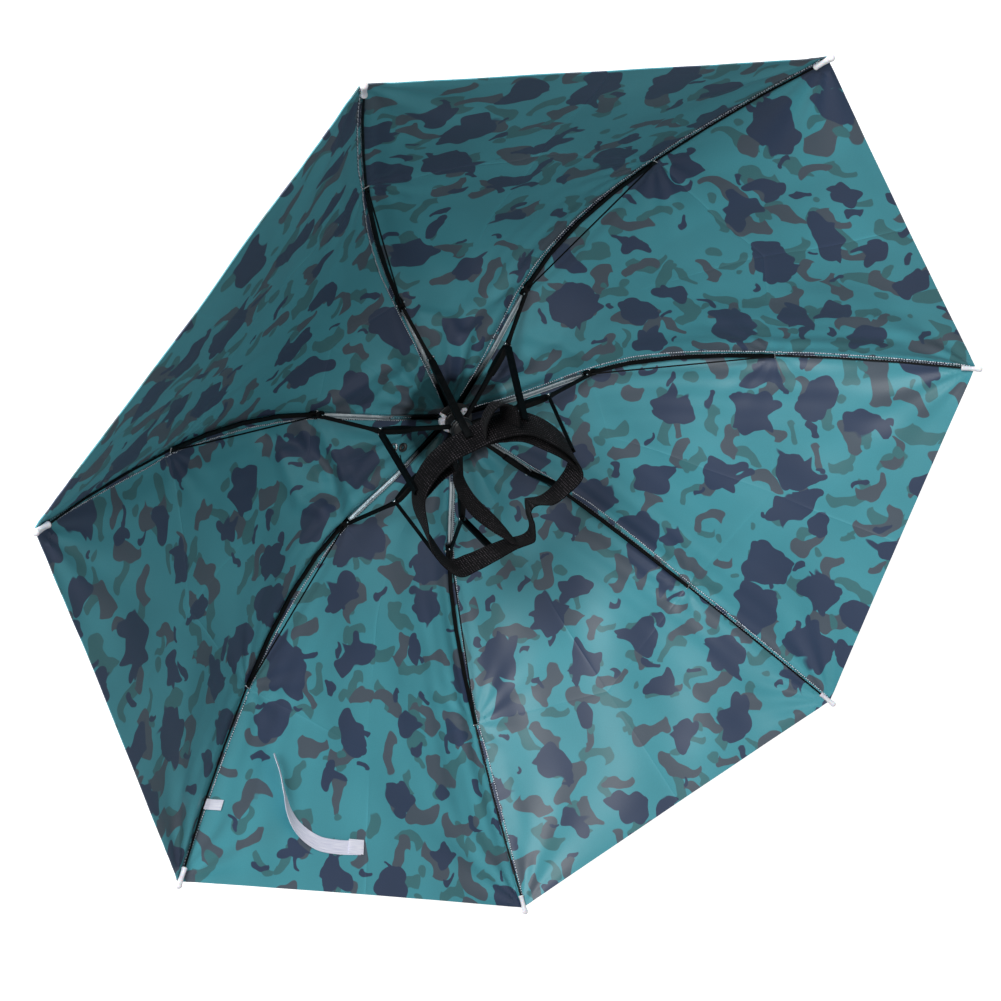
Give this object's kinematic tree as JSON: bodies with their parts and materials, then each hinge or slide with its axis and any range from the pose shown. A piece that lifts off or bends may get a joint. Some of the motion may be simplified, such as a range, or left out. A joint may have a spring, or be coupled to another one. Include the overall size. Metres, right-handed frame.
{
  "type": "umbrella hat",
  "caption": "Folding umbrella hat in camouflage cloth with steel ribs, seven legs and a webbing head band, lying open side up on its crown cap.",
  "frame": {"origin": "centre of the crown cap's flat face, which the hat rests on", "axes": "+Z from the crown cap up through the opening, which is down when the hat is worn; -Y towards the first rib"},
  "size_m": [0.917, 0.8941, 0.2668],
  "materials": {
    "canopy": "thin woven polyester, teal camouflage print",
    "steel": "bright rolled steel",
    "black_steel": "black painted steel",
    "white_plastic": "white moulded plastic",
    "black_plastic": "black moulded plastic",
    "webbing": "black elastic webbing",
    "ribbon": "white satin ribbon"
  },
  "bodies": {
    "root": {"crown_hub": "white_plastic", "runner": "black_plastic", "head_band": "webbing", "closing_strap": "ribbon", "canopy_panel_1": "canopy", "inner_rib_1": "steel", "middle_rib_1": "black_steel", "outer_rib_1": "black_steel", "rib_tip_1": "white_plastic", "lever_1": "black_steel", "control_wire_1": "black_steel", "leg_1": "black_steel", "canopy_panel_2": "canopy", "inner_rib_2": "steel", "middle_rib_2": "black_steel", "outer_rib_2": "black_steel", "rib_tip_2": "white_plastic", "lever_2": "black_steel", "control_wire_2": "black_steel", "leg_2": "black_steel", "canopy_panel_3": "canopy", "inner_rib_3": "steel", "middle_rib_3": "black_steel", "outer_rib_3": "black_steel", "rib_tip_3": "white_plastic", "lever_3": "black_steel", "control_wire_3": "black_steel", "leg_3": "black_steel", "canopy_panel_4": "canopy", "inner_rib_4": "steel", "middle_rib_4": "black_steel", "outer_rib_4": "black_steel", "rib_tip_4": "white_plastic", "lever_4": "black_steel", "control_wire_4": "black_steel", "leg_4": "black_steel", "canopy_panel_5": "canopy", "inner_rib_5": "steel", "middle_rib_5": "black_steel", "outer_rib_5": "black_steel", "rib_tip_5": "white_plastic", "lever_5": "black_steel", "control_wire_5": "black_steel", "leg_5": "black_steel", "canopy_panel_6": "canopy", "inner_rib_6": "steel", "middle_rib_6": "black_steel", "outer_rib_6": "black_steel", "rib_tip_6": "white_plastic", "lever_6": "black_steel", "control_wire_6": "black_steel", "leg_6": "black_steel", "canopy_panel_7": "canopy", "inner_rib_7": "steel", "middle_rib_7": "black_steel", "outer_rib_7": "black_steel", "rib_tip_7": "white_plastic", "lever_7": "black_steel", "control_wire_7": "black_steel", "leg_7": "black_steel"}
  },
  "joints": []
}
